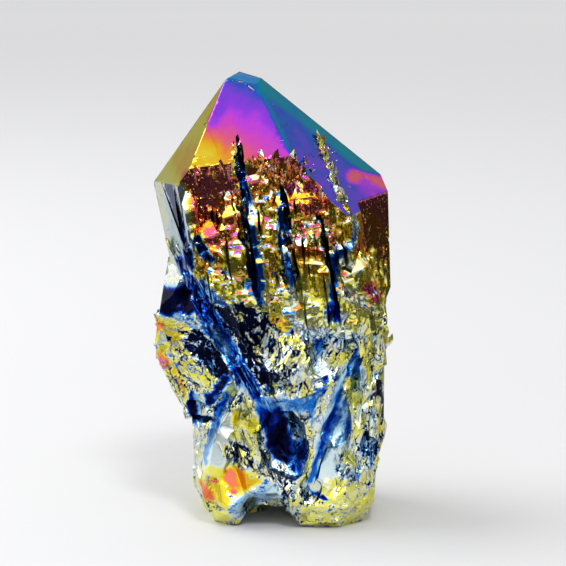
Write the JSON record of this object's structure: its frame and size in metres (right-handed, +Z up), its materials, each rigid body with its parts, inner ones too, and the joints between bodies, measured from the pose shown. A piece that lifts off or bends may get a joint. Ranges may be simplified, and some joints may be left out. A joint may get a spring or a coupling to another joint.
{
  "type": "cathedral aura quartz crystal",
  "caption": "Upright quartz crystal point with stepped parallel side crystals on a broken rock root, coated with a rainbow metallic film.",
  "frame": {"origin": "centre of the bounding box's bottom face, on the surface the crystal stands on", "axes": "+Z up along the height of the crystal, -Y towards the stepped front face"},
  "size_m": [0.0342, 0.0292, 0.0635],
  "materials": {
    "aura_film": "rainbow metallic interference film, glossy on crystal faces and rough on broken rock"
  },
  "bodies": {
    "root": {"quartz_crystal": "aura_film"}
  },
  "joints": []
}
